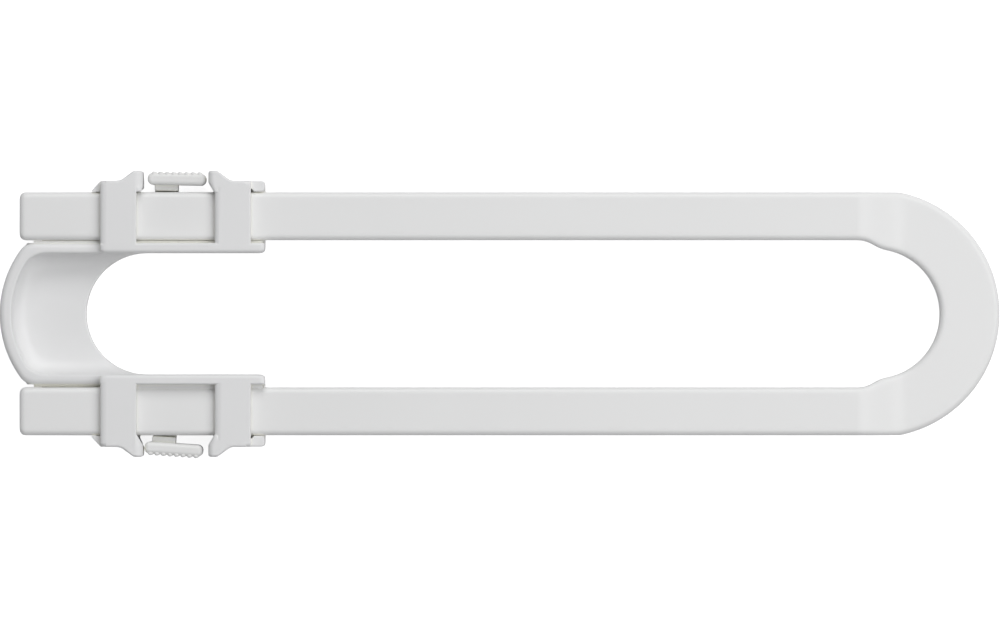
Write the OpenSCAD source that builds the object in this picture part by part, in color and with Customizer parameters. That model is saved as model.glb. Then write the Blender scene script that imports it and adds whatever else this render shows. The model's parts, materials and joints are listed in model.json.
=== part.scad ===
// Sliding U-shaped safety lock for a pair of cabinet knobs.
// A channelled U-shaped bar slides through a yoke, and two squeeze levers in the yoke
// drop their pawls into racks that are moulded inside the bar's legs.
// The lock lies on its back: +X is along the bar towards its bend, +Z is away from the door.

/* [U-bar] */
// Length of a leg from the centre of the bend to its free end
leg_len = 171.2; // [140:0.1:240]
// Distance from the free ends of the legs to the yoke's saddle centre, as the lock is stored
leg_tail = 25.3; // [12:0.1:60]
// Clear distance between the two legs
leg_gap = 29.4; // [27:0.1:34]
// Width of a leg, seen from the front
leg_w = 9.6; // [9:0.1:12]
// Depth of the bar's channel section, front to back
bar_t = 6.6; // [5.5:0.1:9]
// Thickness of the channel's side walls
bar_wall = 1.8; // [1.4:0.1:2]
// Thickness of the channel's front wall
bar_front = 2; // [1.2:0.1:2.6]
// Inner radius of the bend, the saddle that sits round a knob's neck
bend_r = 12.9; // [11:0.1:14]
// How far the round of the bend stands out past the legs
bend_bulge = 0.5; // [0.2:0.1:1.5]
// Length over which the bar cranks back towards the door
ramp_len = 9.8; // [7:0.1:14]
// Distance from the start of the crank to the centre of the bend
ramp_back = 3.9; // [2:0.1:6]
// Corner radius at the free ends of the legs
leg_end_r = 1.2; // [0.4:0.1:2]
// Chamfer along the front edges of the bar
bar_chamfer = 0.7; // [0.3:0.1:1.2]
// Thickness of the stiffening ribs inside the bend
bend_rib_t = 1.4; // [1:0.1:2]
// Number of stiffening ribs inside the bend
bend_ribs = 5; // [3:1:9]

/* [Rack and pawls] */
// Pitch of the rack teeth
pitch = 2.5; // [2:0.1:3]
// Height of a rack tooth
tooth_h = 0.8; // [0.5:0.05:0.9]
// Gap between a seated pawl and the rack
tooth_gap = 0.15; // [0.1:0.01:0.2]
// Number of teeth on a pawl
pawl_teeth = 2; // [1:1:2]
// Distance along the bar from a lever's pin to its first pawl tooth
pawl_reach = 8.3; // [7.5:0.1:9]
// Thickness of the pawl behind its teeth
pawl_back = 1.7; // [1.2:0.1:2]
// Space between the top of a pawl and the channel's front wall
pawl_head_gap = 0.6; // [0.3:0.1:1]

/* [Yoke] */
// Side clearance between the yoke and each leg
side_play = 0.55; // [0.3:0.05:0.8]
// Width of the rails beside the knob slot
rail_w = 2.05; // [1.6:0.05:2.6]
// Width of the rim round the closed end
rim_w = 2.4; // [1.6:0.1:3.2]
// Outer radius of the closed end
cap_r = 21.6; // [20:0.1:24]
// Distance from the saddle centre to the centre of the closed end's outer radius
cap_offset = 7.7; // [5:0.1:10]
// Height of the closed end's rim and rails below the front of the legs
rail_drop = 0.4; // [0:0.1:1.5]
// Thickness of the web at the closed end
web_t = 3; // [2.2:0.1:4]
// Radius of the hollow fillet between the web and the rim
web_fillet = 3; // [1.5:0.1:4]
// Thickness of the walls outside the legs
wall_w = 2.05; // [1.6:0.05:2.6]
// Width of the four straps over the legs
strap_w = 7.2; // [5:0.1:9]
// Thickness of the straps
strap_t = 2; // [1.5:0.1:3]
// Clearance between the straps and the front of the legs
strap_gap = 0.2; // [0.1:0.05:0.4]
// Radius of the straps' front edges
strap_edge_r = 0.8; // [0.3:0.1:1.2]
// Distance from the button window to each strap
strap_set = 1.3; // [0.8:0.1:2.5]
// Length of the rails and walls past the last strap
rail_over = 2.7; // [1:0.1:5]
// Length of the walls before the first strap, at their foot
lead_len = 2; // [1:0.1:4]
// Height of the ears that shield the buttons, above the walls
ear_h = 1.7; // [0.8:0.1:2.4]
// Width of an ear at its tip
ear_tip = 1.8; // [1.2:0.1:2.5]
// Run of the sloped flank of an ear
ear_slope = 2.7; // [1.5:0.1:4]
// How far the webs between straps and ears reach over the edge of a leg
ear_web = 1; // [0.3:0.1:1.5]

/* [Back cover] */
// Thickness of the back cover's plate
cover_t = 1.2; // [1:0.1:2]
// Width of the runners that carry the legs
runner_w = 1.3; // [1:0.1:1.5]
// Clearance between the runners and the back of the legs
runner_gap = 0.1; // [0.05:0.01:0.2]
// Length of the inner runners past the outer walls' start
runner_lead = 10; // [4:0.5:11]
// Radius of the posts that locate the cover in the web
post_r = 1.5; // [1:0.1:1.8]
// Clearance round the locating posts
post_gap = 0.1; // [0.05:0.01:0.2]
// Height of the locating posts
post_h = 1.8; // [1:0.1:2]

/* [Squeeze levers] */
// Thickness of a lever's plate
lever_t = 1.8; // [1.4:0.1:2.4]
// Clearance between a lever and the back cover
lever_gap = 0.15; // [0.1:0.01:0.3]
// Clearance between a lever and the back of its leg
lever_top_gap = 0.25; // [0.15:0.01:0.5]
// Distance along the bar from the saddle centre to a lever's pin
pin_offset = 3.9; // [3:0.1:5]
// Radius of a lever's hub
hub_r = 3; // [2.6:0.1:3.4]
// Width of the stem that carries the thumb pad
stem_w = 5.1; // [4:0.1:6]
// Length of a thumb pad
pad_len = 11.65; // [10:0.05:13]
// Distance from the pin to the near end of the thumb pad
pad_back = 3.75; // [3:0.05:4.5]
// Thickness of a thumb pad without its ribs
pad_t = 2.4; // [1.8:0.1:3]
// Gap between the thumb pad and its leg with the lever square
pad_gap = 1.45; // [1.2:0.05:2.5]
// Corner radius of a thumb pad
pad_corner_r = 1.1; // [0.4:0.1:1.15]
// Number of grip ribs on a thumb pad
grip_ribs = 8; // [5:1:8]
// Pitch of the grip ribs
grip_pitch = 1.3; // [1.1:0.05:1.35]
// Radius of a grip rib
grip_r = 0.5; // [0.35:0.05:0.55]
// How far the grip ribs stand out
grip_h = 0.3; // [0.15:0.05:0.35]
// Width of the lever's arm inside its pin line
arm_in = 1.3; // [1:0.1:1.6]
// Width of the lever's arm outside its pin line
arm_out = 2; // [1.4:0.1:2.2]
// Clearance at each end of the button window
window_play = 0.25; // [0.15:0.05:0.5]
// Angle of a lever with its pawl fully seated, from square
seat_tilt = 3.9; // [3:0.1:5]
// Angle of a lever squeezed fully in, from square
squeeze_tilt = 3.1; // [2.5:0.1:4]
// Angle at which the upper lever stands as stored, from square
upper_tilt = -1; // [-1.5:0.1:3]
// Angle at which the lower lever stands as stored, from square
lower_tilt = 3.9; // [0:0.1:3.9]

/* [Pins and springs] */
// Radius of a pivot pin's shank
pin_r = 1.2; // [1:0.05:1.4]
// Running clearance between a pin and its lever
pin_play = 0.05; // [0.02:0.01:0.08]
// Clearance between a pin and its hole in the cover
pin_seat_gap = 0.02; // [0.01:0.01:0.05]
// Radius of a pivot pin's head
pin_head_r = 2; // [1.7:0.05:2.2]
// Thickness of a pivot pin's head
pin_head_t = 0.8; // [0.5:0.05:0.9]
// Clearance round and under a pin's head
pin_head_gap = 0.1; // [0.05:0.01:0.15]
// Skin of cover left below a pin
pin_floor = 0.3; // [0.2:0.05:0.5]
// Thickness of the return spring's strip
spring_t = 0.3; // [0.2:0.05:0.4]
// Width of the return spring's strip
spring_w = 1.4; // [1:0.1:1.6]
// Distance along the bar from the pin to the middle of the spring
spring_reach = 8; // [7.5:0.1:9]
// Length of the spring between its feet
spring_len = 8.4; // [7:0.1:9]
// Gap between the spring and what it bears on
spring_gap = 0.05; // [0.02:0.01:0.1]
// Size of the nubs that hold the spring's feet
nub_w = 0.8; // [0.6:0.1:1.2]

/* [Hidden] */
$fn = 96;
// How far a cut runs past the solid that it cuts
over = 1;
// Steps in a curved outline, and steps in a rounded corner
curve_steps = 10;
corner_steps = 5;

// Levels, from the resting plane up
lever_z = cover_t + lever_gap;
leg_back = lever_z + lever_t + lever_top_gap;
leg_front = leg_back + bar_t;
strap_z = leg_front + strap_gap;
strap_top = strap_z + strap_t;
rail_top = leg_front - rail_drop;
runner_top = leg_back - runner_gap;
pawl_top = leg_front - bar_front - pawl_head_gap;

// Places across the bar, from its centre line out
leg_in = leg_gap / 2;
leg_out = leg_in + leg_w;
leg_mid = leg_in + leg_w / 2;
rail_out = leg_in - side_play;
saddle_r = rail_out - rail_w;
wall_in = leg_out + side_play;
wall_out = wall_in + wall_w;
root_y = leg_out - bar_wall;
pad_in = leg_out + pad_gap;

// Places along the bar
bend_out_r = leg_out + bend_bulge;
knob_span = leg_len - leg_tail;
total_len = knob_span + bend_out_r + cap_offset + cap_r;
bend_x = total_len / 2 - bend_out_r;
saddle_x = bend_x - knob_span;
cap_x = saddle_x - cap_offset;
leg_end_x = bend_x - leg_len;
ramp_x = bend_x - ramp_back;
pin_x = saddle_x + pin_offset;
pawl_x = pin_x + pawl_reach;

// The button window is as long as the thumb pad needs over its whole swing
pad_arm = pad_in + pad_t / 2 - leg_mid;
window_from = pin_x - pad_back - pad_arm * sin(seat_tilt) - window_play;
window_to = pin_x - pad_back + pad_len + pad_arm * sin(squeeze_tilt) + window_play;
strap_from = window_from - strap_set - strap_w;
strap_to = window_to + strap_set + strap_w;
yoke_end = strap_to + rail_over;
wall_start = strap_from - lead_len;
runner_start = wall_start - runner_lead;

// The bend meets the straight outer edge of the legs at this angle
bend_start = acos(leg_out / bend_out_r);

function unit(v) = v / norm(v);

// Points of an arc of radius r that rounds the corner b between a and c
function corner(a, b, c, r) =
    r == 0 ? [b] :
    let (
        u = unit(a - b),
        v = unit(c - b),
        half = acos(u * v) / 2,
        centre = b + unit(u + v) * r / sin(half),
        from = b + u * r / tan(half) - centre,
        to = b + v * r / tan(half) - centre,
        start = atan2(from.y, from.x),
        turn = atan2(from.x * to.y - from.y * to.x, from * to)
    )
    [for (i = [0:corner_steps]) centre + r * [cos(start + turn * i / corner_steps),
        sin(start + turn * i / corner_steps)]];

// An outline whose corners are rounded by the radii in r, one for each point
function rounded(p, r) = [for (i = [0:len(p) - 1])
    each corner(p[(i + len(p) - 1) % len(p)], p[i], p[(i + 1) % len(p)], r[i])];

// A cubic curve through a and d, with b and c as its handles
function curve(a, b, c, d) = [for (i = [0:curve_steps]) let (t = i / curve_steps)
    a * pow(1 - t, 3) + 3 * b * t * pow(1 - t, 2) + 3 * c * t * t * (1 - t) + d * pow(t, 3)];

// A box between two corners
module block(from, to) {
    translate(from)
        cube(to - from);
}

// A flat outline in X and Z, carried along Y
module side_slab(points, from, to) {
    translate([0, to, 0])
        rotate([90, 0, 0])
            linear_extrude(height = to - from)
                polygon(points);
}

// A copy on each side of the centre line
module both_sides() {
    for (side = [0, 1])
        mirror([0, side, 0])
            children();
}

// Half of the U seen from the front, drawn in by a wall's thickness
module u_half(inset) {
    r = bend_r + inset;
    meet = [bend_x + r * sin(bend_start), r * cos(bend_start)];
    y = leg_in + inset;
    reach = (meet.x - ramp_x) / 2;
    from = leg_end_x + inset;
    end_r = inset > 0 ? 0 : leg_end_r;
    tangent = [cos(bend_start), -sin(bend_start)];
    polygon(rounded([[from, y], [meet.x, y], [meet.x, leg_out - inset], [from, leg_out - inset]],
        [end_r, 0, 0, end_r]));
    polygon(concat(curve([ramp_x, y], [ramp_x + reach, y], meet - tangent * reach, meet),
        [[meet.x, y + bar_wall], [ramp_x, y + bar_wall]]));
    intersection() {
        translate([bend_x, 0])
            difference() {
                circle(r = bend_out_r - inset);
                circle(r = r);
            }
        translate([meet.x, 0])
            square([bend_out_r, leg_out - inset]);
    }
}

// The whole U seen from the front
module u_plan(inset) {
    u_half(inset);
    mirror([0, 1, 0])
        u_half(inset);
}

// How far the bar has dropped towards the door at a place along the crank, as a share
function dropped(t) = t * t * (3 - 2 * t);

// The edge of the cranked bar at a given height, from the legs to the bend
function crank_edge(z) = concat([[leg_end_x - over, z]],
    [for (i = [0:curve_steps]) [ramp_x + ramp_len * i / curve_steps,
        z - leg_back * dropped(i / curve_steps)]],
    [[bend_x + bend_out_r + over, z - leg_back]]);

function reversed(p) = [for (i = [len(p) - 1:-1:0]) p[i]];

// The rack: each tooth rises slowly towards the bend and drops back square
module rack_teeth() {
    first = -floor((pawl_x - leg_end_x - bar_wall) / pitch) + 1;
    last = floor((ramp_x - pawl_x) / pitch);
    from = pawl_x - tooth_gap;
    polygon(concat(
        [for (k = [first:last]) each [[from + (k - 1) * pitch, root_y],
            [from + k * pitch, root_y - tooth_h]]],
        [[from + last * pitch, root_y + bar_wall / 2],
            [from + (first - 1) * pitch, root_y + bar_wall / 2]]));
}

module u_bar() {
    width = leg_out + over;
    color("white")
        difference() {
            intersection() {
                linear_extrude(height = leg_front)
                    u_plan(0);
                side_slab(concat(crank_edge(leg_front), reversed(crank_edge(leg_back))), -width, width);
            }
            difference() {
                intersection() {
                    translate([0, 0, -over])
                        linear_extrude(height = leg_front)
                            difference() {
                                u_plan(bar_wall);
                                rack_teeth();
                                mirror([0, 1])
                                    rack_teeth();
                            }
                    side_slab(concat(crank_edge(leg_front - bar_front),
                        [[bend_x + bend_out_r + over, -over], [leg_end_x - over, -over]]), -width, width);
                }
                for (i = [1:bend_ribs])
                    translate([bend_x, 0, 0])
                        rotate([0, 0, -90 + 180 * i / (bend_ribs + 1)])
                            block([bend_r, -bend_rib_t / 2, bar_front / 2],
                                [bend_out_r, bend_rib_t / 2, leg_front]);
            }
            both_sides()
                edge_cuts();
            bend_cut();
        }
}

// Chamfers along the two front edges of one leg, and across its free end
module edge_cuts() {
    c = bar_chamfer;
    for (y = [leg_in, leg_out])
        translate([leg_end_x - over, y, leg_front])
            rotate([90, 0, 90])
                linear_extrude(height = ramp_x - leg_end_x + over)
                    polygon([[-c, 0], [0, -c], [c, 0], [0, c]]);
    side_slab([[leg_end_x - c, leg_front], [leg_end_x, leg_front - c], [leg_end_x + c, leg_front],
        [leg_end_x, leg_front + c]], leg_in - over, leg_out + over);
}

// Chamfer round the outer front edge of the bend
module bend_cut() {
    c = bar_chamfer;
    reach = acos((ramp_x + ramp_len - bend_x) / bend_out_r);
    translate([bend_x, 0, bar_t])
        rotate([0, 0, -reach])
            rotate_extrude(angle = 2 * reach)
                polygon([[bend_out_r - c, 0], [bend_out_r, -c], [bend_out_r + c, 0], [bend_out_r, c]]);
}

// The closed end and the slot of the yoke seen from the front, for a given radius and half width
module cap_plan(r, half) {
    intersection() {
        translate([cap_x, 0])
            circle(r = r);
        translate([cap_x - cap_r, -half])
            square([cap_r, 2 * half]);
    }
    translate([cap_x, -half])
        square([yoke_end - cap_x, 2 * half]);
}

// The opening that a knob's neck goes into, round at the saddle
module knob_slot() {
    translate([saddle_x, 0])
        circle(r = saddle_r);
    translate([saddle_x, -saddle_r])
        square([yoke_end - saddle_x + over, 2 * saddle_r]);
}

// The web at the closed end seen from the front
module web_plan() {
    difference() {
        intersection() {
            cap_plan(cap_r - rim_w / 2, saddle_r + rail_w / 2);
            translate([cap_x - cap_r, -leg_in])
                square([saddle_x - cap_x + cap_r, 2 * leg_in]);
        }
        knob_slot();
    }
}

// Cross section of a hollow fillet, with its corner at the origin
module hollow_fillet() {
    f = web_fillet;
    difference() {
        translate([-rail_w / 2, -web_t / 2])
            square([f + rail_w / 2, f + web_t / 2]);
        translate([f, f])
            circle(r = f);
        translate([0, f])
            square([f + over, over]);
        translate([f, 0])
            square([over, f + over]);
    }
}

// The web's fillets, along both rails and round the rim
module web_fillets() {
    web_z = cover_t + web_t;
    intersection() {
        translate([0, 0, cover_t])
            linear_extrude(height = rail_top - cover_t)
                web_plan();
        union() {
            both_sides()
                translate([cap_x - cap_r, saddle_r, web_z])
                    rotate([90, 0, 90])
                        linear_extrude(height = cap_r + cap_offset)
                            mirror([1, 0])
                                hollow_fillet();
            translate([cap_x, 0, web_z])
                rotate([0, 0, 90])
                    rotate_extrude(angle = 180)
                        translate([cap_r - rim_w, 0])
                            mirror([1, 0])
                                hollow_fillet();
        }
    }
}

// The locating posts stand on the middle of the web, at these angles about the saddle
module at_posts() {
    middle = (saddle_r + cap_offset + cap_r - rim_w) / 2;
    for (angle = [155, 180, 205])
        translate([saddle_x + middle * cos(angle), middle * sin(angle), 0])
            children();
}

// One side's walls outside the leg, seen from the front
module wall_plan() {
    tip = wall_out + ear_h;
    r = strap_edge_r;
    polygon(rounded([[wall_start, wall_in], [wall_start + lead_len, wall_out],
        [window_from - ear_tip - ear_slope, wall_out], [window_from - ear_tip, tip],
        [window_from, tip], [window_from, wall_in]], [0, 0, ear_slope, r, r / 2, r]));
    polygon(rounded([[window_to, wall_in], [window_to, tip], [window_to + ear_tip, tip],
        [window_to + ear_tip + ear_slope, wall_out], [yoke_end, wall_out], [yoke_end, wall_in]],
        [r, r / 2, r, ear_slope, r, r]));
}

// A strap over the leg, with rounded front edges
module strap(from) {
    to = from + strap_w;
    r = strap_edge_r;
    side_slab(rounded([[from, strap_z], [to, strap_z], [to, strap_top], [from, strap_top]],
        [0, 0, r, r]), saddle_r, wall_out);
}

// The rail beside the slot, level with the straps from the first one on
module raised_rail() {
    r = strap_edge_r;
    side_slab(rounded([[strap_from, rail_top - r], [yoke_end, rail_top - r], [yoke_end, strap_top],
        [strap_from, strap_top]], [0, 0, r, r]), saddle_r, rail_out);
}

// The webs that run from the straps over a leg's edge to the ears
module ear_webs() {
    translate([0, 0, strap_z])
        linear_extrude(height = strap_t)
            for (web = [[window_from, -1], [window_to, 1]])
                polygon([[web[0], wall_in], [web[0], wall_in + wall_w / 2],
                    [web[0] + web[1] * (strap_set + strap_edge_r), wall_in + wall_w / 2],
                    [web[0] + web[1] * (strap_set + strap_edge_r), leg_out - ear_web],
                    [web[0] + web[1] * strap_set, leg_out - ear_web]]);
}

module yoke() {
    color("white") {
        difference() {
            union() {
                translate([0, 0, cover_t])
                    linear_extrude(height = rail_top - cover_t)
                        difference() {
                            cap_plan(cap_r, rail_out);
                            cap_plan(cap_r - rim_w, saddle_r);
                            knob_slot();
                        }
                translate([0, 0, cover_t])
                    linear_extrude(height = web_t)
                        web_plan();
                web_fillets();
            }
            translate([0, 0, cover_t - over])
                at_posts()
                    cylinder(r = post_r + post_gap, h = over + post_h + post_gap);
        }
        both_sides() {
            translate([0, 0, cover_t])
                linear_extrude(height = leg_front - cover_t)
                    wall_plan();
            strap(strap_from);
            strap(strap_to - strap_w);
            raised_rail();
            ear_webs();
            for (from = [strap_from, strap_to - strap_w])
                block([from, wall_in, leg_front - strap_edge_r], [from + strap_w, wall_out, strap_z]);
            intersection() {
                translate([0, 0, leg_front])
                    linear_extrude(height = strap_top - leg_front)
                        wall_plan();
                block([strap_from, wall_in, leg_front], [strap_to, wall_out + ear_h, strap_top]);
            }
        }
    }
}

// One side of the cover that reaches under the leg
module cover_wing() {
    difference() {
        polygon([[runner_start, saddle_r], [runner_start, rail_out + runner_w],
            [wall_start, wall_out - wall_w / 2], [wall_start + lead_len, wall_out], [yoke_end, wall_out],
            [yoke_end, saddle_r]]);
        translate([window_from, leg_out])
            square([window_to - window_from, wall_w + side_play + over]);
    }
}

module back_cover() {
    color("white")
        difference() {
            union() {
                linear_extrude(height = cover_t)
                    union() {
                        difference() {
                            cap_plan(cap_r, rail_out);
                            knob_slot();
                        }
                        cover_wing();
                        mirror([0, 1])
                            cover_wing();
                    }
                at_posts()
                    cylinder(r = post_r, h = cover_t + post_h);
                both_sides() {
                    block([runner_start, rail_out + runner_gap, cover_t / 2],
                        [yoke_end, rail_out + runner_gap + runner_w, runner_top]);
                    for (span = [[wall_start + lead_len, window_from], [window_to, yoke_end]])
                        block([span[0], wall_in - runner_gap - runner_w, cover_t / 2],
                            [span[1], wall_in - runner_gap, runner_top]);
                    for (end = [-1, 1])
                        translate([pin_x + spring_reach + end * (spring_len / 2 + spring_gap + nub_w / 2),
                            rail_out + runner_gap + runner_w, (cover_t + runner_top) / 2])
                            cube([nub_w, 2 * nub_w, runner_top - cover_t], center = true);
                }
            }
            both_sides()
                translate([pin_x, leg_mid, pin_floor])
                    cylinder(r = pin_r + pin_seat_gap, h = cover_t + over);
        }
}

// The pawl seen from the front, with its lever seated: square faces towards the yoke's closed end
module pawl_plan() {
    tip = root_y - tooth_gap - leg_mid;
    foot = tip - tooth_h;
    polygon(concat([[pawl_reach, foot - pawl_back]],
        [for (k = [0:pawl_teeth - 1]) each [[pawl_reach + k * pitch, tip],
            [pawl_reach + (k + 1) * pitch, foot]]],
        [[pawl_reach + pawl_teeth * pitch, foot - pawl_back]]));
}

// A squeeze lever about its pin: hub, stem and thumb pad, arm and pawl
module lever() {
    arm_end = pawl_reach + pawl_teeth * pitch;
    pad_y = pad_in - leg_mid;
    pad_from = [-pad_back, pad_y];
    pad_to = [pad_len - pad_back, pad_y + pad_t];
    head_z = lever_t - pin_head_t - pin_head_gap;
    color("white")
        difference() {
            union() {
                cylinder(r = hub_r, h = lever_t);
                block([-stem_w / 2, 0, 0], [stem_w / 2, pad_y + pad_t / 2, lever_t]);
                rotate([0, 0, -seat_tilt]) {
                    block([0, -arm_in, 0], [arm_end, arm_out, lever_t]);
                    linear_extrude(height = pawl_top - lever_z)
                        pawl_plan();
                }
                linear_extrude(height = leg_front - lever_z)
                    polygon(rounded([pad_from, [pad_to.x, pad_from.y], pad_to, [pad_from.x, pad_to.y]],
                        [for (i = [1:4]) pad_corner_r]));
                for (i = [0:grip_ribs - 1])
                    translate([(pad_from.x + pad_to.x) / 2 + (i - (grip_ribs - 1) / 2) * grip_pitch,
                        pad_to.y + grip_h - grip_r, 0])
                        cylinder(r = grip_r, h = leg_front - lever_z, $fn = 24);
            }
            translate([0, 0, -over])
                cylinder(r = pin_r + pin_play, h = lever_t + 2 * over);
            translate([0, 0, head_z - pin_head_gap])
                cylinder(r = pin_head_r + pin_head_gap, h = lever_t);
        }
}

module upper_lever() {
    translate([pin_x, leg_mid, lever_z])
        rotate([0, 0, upper_tilt])
            lever();
}

module lower_lever() {
    mirror([0, 1, 0])
        translate([pin_x, leg_mid, lever_z])
            rotate([0, 0, lower_tilt])
                lever();
}

// A headed pivot pin, pressed into the back cover
module pivot_pin() {
    head_z = lever_z + lever_t - pin_head_t - pin_head_gap;
    color("silver")
        translate([pin_x, leg_mid, 0]) {
            translate([0, 0, pin_floor + pin_seat_gap])
                cylinder(r = pin_r, h = head_z - pin_floor);
            translate([0, 0, head_z])
                cylinder(r = pin_head_r, h = pin_head_t);
        }
}

module upper_pivot_pin() {
    pivot_pin();
}

module lower_pivot_pin() {
    mirror([0, 1, 0])
        pivot_pin();
}

// A bowed leaf spring between the inner runner and the arm of a lever that stands at this tilt
module return_spring(tilt) {
    foot = rail_out + runner_gap + runner_w + spring_gap;
    arm_turn = tilt - seat_tilt;
    crown = leg_mid - arm_in * cos(arm_turn) + spring_reach * sin(arm_turn) - spring_gap;
    half = spring_len / 2;
    bow = curve([-half, foot], [-half / 3, foot], [-half / 3, crown - spring_t], [0, crown - spring_t]);
    bow_back = [for (p = reversed(bow)) [-p.x, p.y]];
    under = concat(bow, bow_back);
    color("lightsteelblue")
        translate([pin_x + spring_reach, 0, lever_z + (lever_t - spring_w) / 2])
            linear_extrude(height = spring_w)
                polygon(concat(under, [for (p = reversed(under)) p + [0, spring_t]]));
}

module upper_return_spring() {
    return_spring(upper_tilt);
}

module lower_return_spring() {
    mirror([0, 1, 0])
        return_spring(lower_tilt);
}

u_bar();
yoke();
back_cover();
upper_lever();
lower_lever();
upper_pivot_pin();
lower_pivot_pin();
upper_return_spring();
lower_return_spring();
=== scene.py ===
"""Looks of the sliding cabinet safety lock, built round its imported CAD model.

Each sub-assembly is a class that works its surfaces out with numpy in millimetres and hands them
over as one mesh in metres, in the frame of the CAD. The part lies on its back: +X runs along the
legs towards the bend, +Y to the upper lever and +Z away from the door. What both sides have is
laid out on the upper side and mirrored for the lower one.
"""

import json
import logging
import math
from collections.abc import Callable
from dataclasses import dataclass
from enum import Enum
from functools import cached_property

import bmesh
import bpy
import numpy as np
from bpy.types import Material, Mesh, Node, NodeTree, Object
from mathutils import Matrix, Vector

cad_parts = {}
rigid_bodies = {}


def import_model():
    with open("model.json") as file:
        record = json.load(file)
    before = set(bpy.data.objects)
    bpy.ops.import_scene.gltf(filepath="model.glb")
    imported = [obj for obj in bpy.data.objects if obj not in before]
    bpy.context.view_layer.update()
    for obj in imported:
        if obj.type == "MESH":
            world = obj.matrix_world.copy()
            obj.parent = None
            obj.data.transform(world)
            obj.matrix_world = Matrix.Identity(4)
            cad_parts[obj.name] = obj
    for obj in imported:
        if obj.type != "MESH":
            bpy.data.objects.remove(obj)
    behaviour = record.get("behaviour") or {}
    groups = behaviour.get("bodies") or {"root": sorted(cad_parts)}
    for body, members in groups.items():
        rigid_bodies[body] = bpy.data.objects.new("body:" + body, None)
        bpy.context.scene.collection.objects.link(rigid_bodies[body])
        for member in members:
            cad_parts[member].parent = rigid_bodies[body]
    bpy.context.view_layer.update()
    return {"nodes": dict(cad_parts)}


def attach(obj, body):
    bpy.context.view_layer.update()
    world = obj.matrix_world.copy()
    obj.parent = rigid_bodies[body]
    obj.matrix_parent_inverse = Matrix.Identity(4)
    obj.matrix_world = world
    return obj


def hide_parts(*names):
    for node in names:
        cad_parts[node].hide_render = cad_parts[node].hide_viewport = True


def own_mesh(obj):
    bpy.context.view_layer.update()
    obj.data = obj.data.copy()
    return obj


log = logging.getLogger("cabinet_lock")

MM = 0.001

Array = np.ndarray
Triple = tuple[float, float, float]
Field = Callable[[Array, Array], Array]


class Side(Enum):
    """Which side of the centre line a piece is on."""

    UPPER = 1
    LOWER = -1


class Join(Enum):
    """How one closed skin is put together with another."""

    ADD = "UNION"
    CUT = "DIFFERENCE"


@dataclass(frozen=True)
class Skin:
    """A closed surface: its points in millimetres and its faces."""

    points: Array
    faces: list[list[int]]

    def moved(self, turn: float = 0.0, shift: tuple = (0.0, 0.0, 0.0)) -> "Skin":
        """The skin turned by some degrees about Z, then shifted."""
        c, s = math.cos(math.radians(turn)), math.sin(math.radians(turn))
        spin = np.array([[c, -s, 0], [s, c, 0], [0, 0, 1.0]])
        return Skin(self.points @ spin.T + np.array(shift), self.faces)

    def mirrored(self, side: Side) -> "Skin":
        """The skin as it is, or mirrored across the centre line for the lower side."""
        if side is Side.UPPER:
            return self
        return Skin(self.points * [1, -1, 1], [face[::-1] for face in self.faces])


def quarter(points: int) -> Array:
    """Evenly spaced angles from 0 to a quarter turn."""
    return np.linspace(0, math.pi / 2, points)


def unit(vectors: Array) -> Array:
    """Rows of an array scaled to length 1."""
    return vectors / np.maximum(np.linalg.norm(vectors, axis=-1, keepdims=True), 1e-12)


def cubic(a: Array, b: Array, c: Array, d: Array, t: Array) -> Array:
    """Cubic curve from a to d: a (1-t)³ + 3 b t (1-t)² + 3 c t² (1-t) + d t³."""
    s = 1 - t
    return a * s**3 + 3 * b * t * s**2 + 3 * c * t**2 * s + d * t**3


def distinct(outline: Array) -> Array:
    """A closed outline without points that repeat the one before."""
    step = np.linalg.norm(outline - np.roll(outline, 1, 0), axis=1)
    return outline[step > 1e-5]


def rounded(corners: list | Array, radii: list | Array | float, steps: int = 6) -> Array:
    """Rounds the corners of a closed outline.

    At each corner an arc touches both edges. Its centre lies on the bisector, at the radius over
    the sine of the half angle, and its points are equal turns between the two touching points.

    Args:
        corners: The corners in order.
        radii: One radius for each corner, or one for all.
        steps: Steps in each arc.

    Returns:
        The points of the rounded outline.
    """
    p = np.asarray(corners, float)
    r = np.broadcast_to(np.asarray(radii, float), (len(p),))
    u, v = unit(np.roll(p, 1, 0) - p), unit(np.roll(p, -1, 0) - p)
    half = np.arccos(np.clip((u * v).sum(1), -1, 1)) / 2
    centre = p + unit(u + v) * (r / np.sin(half))[:, None]
    first = p + u * (r / np.tan(half))[:, None] - centre
    last = p + v * (r / np.tan(half))[:, None] - centre
    across = first[:, 0] * last[:, 1] - first[:, 1] * last[:, 0]
    turn = np.arctan2(across, (first * last).sum(1))[:, None]
    angle = np.arctan2(first[:, 1], first[:, 0])[:, None] + turn * np.linspace(0, 1, steps + 1)
    arc = np.stack([np.cos(angle), np.sin(angle)], -1) * r[:, None, None]
    return distinct((centre[:, None] + arc).reshape(-1, 2))


def box(x0: float, y0: float, x1: float, y1: float, radii: list | float, steps: int = 6) -> Array:
    """A rectangle with rounded corners, anticlockwise from its lower left one."""
    return rounded([(x0, y0), (x1, y0), (x1, y1), (x0, y1)], radii, steps)


def outward(outline: Array) -> Array:
    """Mitre directions of a closed outline that runs anticlockwise.

    The sum of the two edge normals over 1 plus their product, so that moving every point by it
    moves every edge by the same distance.
    """
    ahead = unit(np.roll(outline, -1, 0) - outline)
    side = np.stack([ahead[:, 1], -ahead[:, 0]], 1)
    before = np.roll(side, 1, 0)
    return (side + before) / (1 + (side * before).sum(1, keepdims=True))


def anticlockwise(outline: Array) -> Array:
    """The outline, reversed if it runs clockwise."""
    x, y = outline.T
    area = (x * np.roll(y, -1) - y * np.roll(x, -1)).sum()
    return outline if area > 0 else outline[::-1]


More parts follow.
